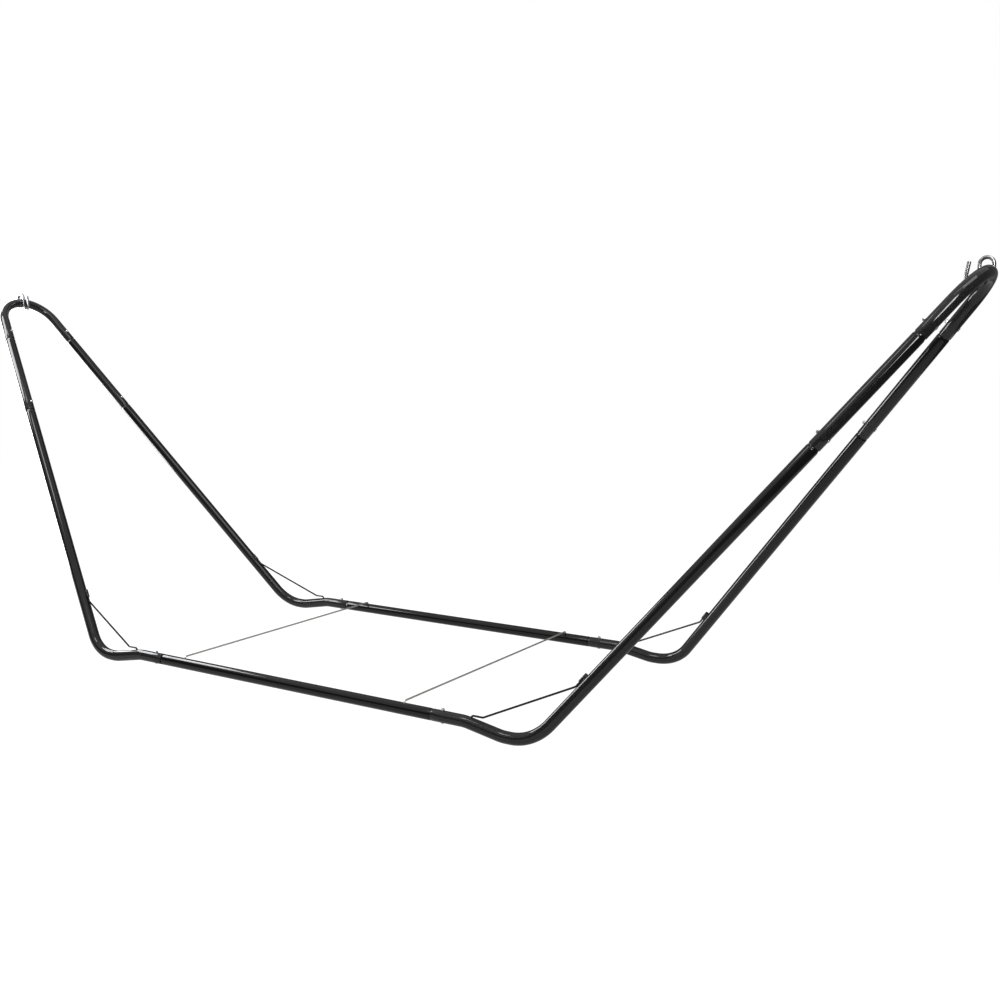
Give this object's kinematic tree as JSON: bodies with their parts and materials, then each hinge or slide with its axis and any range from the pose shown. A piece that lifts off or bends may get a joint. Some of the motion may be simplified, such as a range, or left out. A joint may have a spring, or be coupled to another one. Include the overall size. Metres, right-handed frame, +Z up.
{
  "type": "hammock stand",
  "caption": "Free-standing bolted tube stand for a hammock: base rails, sloping arms that meet in a rounded bow at each end, tie rods, braces and a swinging wire hook on each bow.",
  "frame": {"origin": "on the floor, under the middle of the stand", "axes": "+X along the stand towards its right bow, +Y across it from the front rail to the rear rail, +Z up"},
  "size_m": [4.107, 1.0766, 1.3997],
  "materials": {
    "black_coat": "glossy black powder coat",
    "zinc": "bright zinc plate",
    "tie_rod_zinc": "dull grey zinc plate",
    "polished_steel": "bright plated wire"
  },
  "bodies": {
    "frame": {"rail_front": "black_coat", "rail_rear": "black_coat", "corner_tube_front_left": "black_coat", "arm_tube_front_left": "black_coat", "brace_rod_front_left": "black_coat", "brace_lug_front_left": "black_coat", "bolt_base_front_left": "zinc", "nut_base_front_left": "zinc", "bolt_arm_lower_front_left": "zinc", "nut_arm_lower_front_left": "zinc", "bolt_arm_upper_front_left": "zinc", "nut_arm_upper_front_left": "zinc", "corner_tube_rear_left": "black_coat", "arm_tube_rear_left": "black_coat", "brace_rod_rear_left": "black_coat", "brace_lug_rear_left": "black_coat", "bolt_base_rear_left": "zinc", "nut_base_rear_left": "zinc", "bolt_arm_lower_rear_left": "zinc", "nut_arm_lower_rear_left": "zinc", "bolt_arm_upper_rear_left": "zinc", "nut_arm_upper_rear_left": "zinc", "corner_tube_front_right": "black_coat", "arm_tube_front_right": "black_coat", "brace_rod_front_right": "black_coat", "brace_lug_front_right": "black_coat", "bolt_base_front_right": "zinc", "nut_base_front_right": "zinc", "bolt_arm_lower_front_right": "zinc", "nut_arm_lower_front_right": "zinc", "bolt_arm_upper_front_right": "zinc", "nut_arm_upper_front_right": "zinc", "corner_tube_rear_right": "black_coat", "arm_tube_rear_right": "black_coat", "brace_rod_rear_right": "black_coat", "brace_lug_rear_right": "black_coat", "bolt_base_rear_right": "zinc", "nut_base_rear_right": "zinc", "bolt_arm_lower_rear_right": "zinc", "nut_arm_lower_rear_right": "zinc", "bolt_arm_upper_rear_right": "zinc", "nut_arm_upper_rear_right": "zinc", "bow_left": "black_coat", "tie_rod_left": "tie_rod_zinc", "bow_right": "black_coat", "tie_rod_right": "tie_rod_zinc"},
    "left_hook": {"hook_left": "polished_steel"},
    "right_hook": {"hook_right": "polished_steel"}
  },
  "joints": [
    {"name": "left_hook_swing", "type": "hinge", "parent": "frame", "child": "left_hook", "pos_m": [-2.04497, 0, 1.37217], "axis": [0, -1, 0], "range_deg": [0, 30]},
    {"name": "right_hook_swing", "type": "hinge", "parent": "frame", "child": "right_hook", "pos_m": [2.04497, 0, 1.37217], "axis": [0, 1, 0], "range_deg": [0, 30]}
  ]
}
